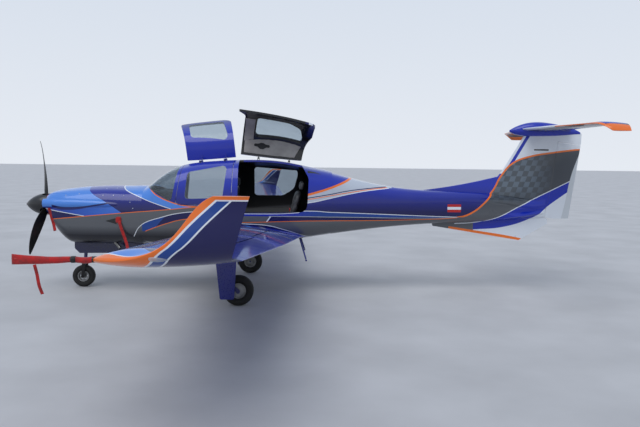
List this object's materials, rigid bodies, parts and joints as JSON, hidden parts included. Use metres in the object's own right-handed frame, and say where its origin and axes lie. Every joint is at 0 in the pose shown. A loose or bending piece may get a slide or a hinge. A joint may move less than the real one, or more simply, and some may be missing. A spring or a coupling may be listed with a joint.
{
  "type": "light aircraft",
  "caption": "Low-wing light aircraft with a T-tail, blended winglets, nose-wheel gear and gull-wing doors that open, on movable control surfaces.",
  "frame": {"origin": "on the ground under the middle of the whole aircraft", "axes": "nose towards -X, starboard +Y, up +Z"},
  "size_m": [9.23, 13.4018, 2.8939],
  "materials": {
    "paint_body": "gloss blue paint with stripes",
    "paint_wing": "gloss blue paint with stripes",
    "paint_tail": "gloss white, grey and blue paint",
    "clear_pane": "clear acrylic",
    "hinge_black": "satin black",
    "cast_block": "rough cast",
    "leg_paint": "satin pale grey",
    "gear_door_paint": "gloss blue",
    "blade_black": "satin black composite",
    "spinner_grey": "satin dark grey",
    "rim_alloy": "cast and machined",
    "tyre_black": "matte rubber",
    "cabin_carpet": "short pile",
    "cabin_trim": "fine grain",
    "seat_leather": "smooth hide",
    "step_blue": "gloss blue",
    "pipe_steel": "heat-stained",
    "probe_red": "gloss red",
    "cloth_red": "woven nylon"
  },
  "bodies": {
    "airframe": {"fuselage": "paint_body", "windscreen": "clear_pane", "rear_side_window": "clear_pane", "door_hinge_lugs": "hinge_black", "tail_boom": "paint_body", "cowling_upper": "paint_body", "cowling_lower": "paint_body", "engine_block": "cast_block", "wing_port": "paint_wing", "wing_starboard": "paint_wing", "winglet_port": "paint_wing", "winglet_starboard": "paint_wing", "horizontal_stabilizer": "paint_tail", "tail_fairing": "paint_tail", "fin": "paint_tail", "ventral_fin": "paint_tail", "nose_gear_leg": "leg_paint", "nose_gear_doors": "gear_door_paint", "main_gear_leg_port": "leg_paint", "main_gear_leg_starboard": "leg_paint", "main_leg_doors": "gear_door_paint", "cabin_floor": "cabin_carpet", "instrument_panel": "cabin_trim", "centre_console": "cabin_trim", "front_seat_port": "seat_leather", "front_seat_starboard": "seat_leather", "rear_bench": "seat_leather", "control_sticks": "cabin_trim", "boarding_steps": "step_blue", "exhaust_pipe": "pipe_steel", "air_data_boom": "probe_red", "boom_cover": "cloth_red", "tie_down_rings": "pipe_steel"},
    "propeller": {"propeller": "blade_black", "spinner": "spinner_grey"},
    "steering": {"nose_fork": "leg_paint"},
    "nose_wheel": {"nose_wheel_rim": "rim_alloy", "nose_wheel_tyre": "tyre_black"},
    "main_wheel_port": {"main_wheel_rim_port": "rim_alloy", "main_wheel_tyre_port": "tyre_black"},
    "main_wheel_starboard": {"main_wheel_rim_starboard": "rim_alloy", "main_wheel_tyre_starboard": "tyre_black"},
    "door_front_port": {"door_front_port": "paint_body", "door_window_front_port": "clear_pane"},
    "door_front_starboard": {"door_front_starboard": "paint_body", "door_window_front_starboard": "clear_pane"},
    "door_rear_port": {"door_rear_port": "paint_body", "door_window_rear_port": "clear_pane"},
    "flap_port": {"flap_port": "paint_wing"},
    "flap_starboard": {"flap_starboard": "paint_wing"},
    "aileron_port": {"aileron_port": "paint_wing"},
    "aileron_starboard": {"aileron_starboard": "paint_wing"},
    "elevator": {"elevator": "paint_tail"},
    "rudder": {"rudder": "paint_tail"}
  },
  "joints": [
    {"name": "propeller_spin", "type": "hinge", "parent": "airframe", "child": "propeller", "pos_m": [-4.28, 0, 1.365], "axis": [1, 0, 0], "continuous": true},
    {"name": "nose_steer", "type": "hinge", "parent": "airframe", "child": "steering", "pos_m": [-3.6718, 0, 0.47], "axis": [0.0785, 0, 0.9969], "range_deg": [-30, 30]},
    {"name": "nose_wheel_spin", "type": "hinge", "parent": "steering", "child": "nose_wheel", "pos_m": [-3.7, 0, 0.1805], "axis": [0, 1, 0], "continuous": true},
    {"name": "main_wheel_spin_port", "type": "hinge", "parent": "airframe", "child": "main_wheel_port", "pos_m": [-1.035, -1.395, 0.2225], "axis": [0, 1, 0], "continuous": true},
    {"name": "main_wheel_spin_starboard", "type": "hinge", "parent": "airframe", "child": "main_wheel_starboard", "pos_m": [-1.035, 1.395, 0.2225], "axis": [0, 1, 0], "continuous": true},
    {"name": "door_hinge_front_port", "type": "hinge", "parent": "airframe", "child": "door_front_port", "pos_m": [-1.765, -0.12, 2.098], "axis": [-0.9962, 0, -0.0872], "range_deg": [0, 104]},
    {"name": "door_hinge_front_starboard", "type": "hinge", "parent": "airframe", "child": "door_front_starboard", "pos_m": [-1.765, 0.12, 2.098], "axis": [0.9962, 0, 0.0872], "range_deg": [-104, 0]},
    {"name": "door_hinge_rear_port", "type": "hinge", "parent": "airframe", "child": "door_rear_port", "pos_m": [-0.815, -0.12, 2.16], "axis": [-0.9958, 0, 0.0916], "range_deg": [-102, 0]},
    {"name": "flap_hinge_port", "type": "hinge", "parent": "airframe", "child": "flap_port", "pos_m": [-0.57054, -0.76, 0.96029], "axis": [0.0478, 0.9952, -0.0854], "range_deg": [0, 42]},
    {"name": "aileron_hinge_port", "type": "hinge", "parent": "airframe", "child": "aileron_port", "pos_m": [-0.67504, -3.64, 1.20629], "axis": [0.0657, 0.9941, -0.0858], "range_deg": [-25, 15]},
    {"name": "flap_hinge_starboard", "type": "hinge", "parent": "airframe", "child": "flap_starboard", "pos_m": [-0.57054, 0.76, 0.96029], "axis": [-0.0478, 0.9952, 0.0854], "range_deg": [0, 42]},
    {"name": "aileron_hinge_starboard", "type": "hinge", "parent": "airframe", "child": "aileron_starboard", "pos_m": [-0.67504, 3.64, 1.20629], "axis": [-0.0657, 0.9941, 0.0858], "range_deg": [-25, 15]},
    {"name": "elevator_hinge", "type": "hinge", "parent": "airframe", "child": "elevator", "pos_m": [4.185, 0, 2.7], "axis": [0, 1, 0], "range_deg": [-15.5, 13]},
    {"name": "rudder_hinge", "type": "hinge", "parent": "airframe", "child": "rudder", "pos_m": [4.047, 0, 1.215], "axis": [0.1297, 0, 0.9916], "range_deg": [-27, 27]}
  ],
  "couplings": [
    {"joint": "flap_hinge_starboard", "follows": "flap_hinge_port", "ratio": 1}
  ]
}
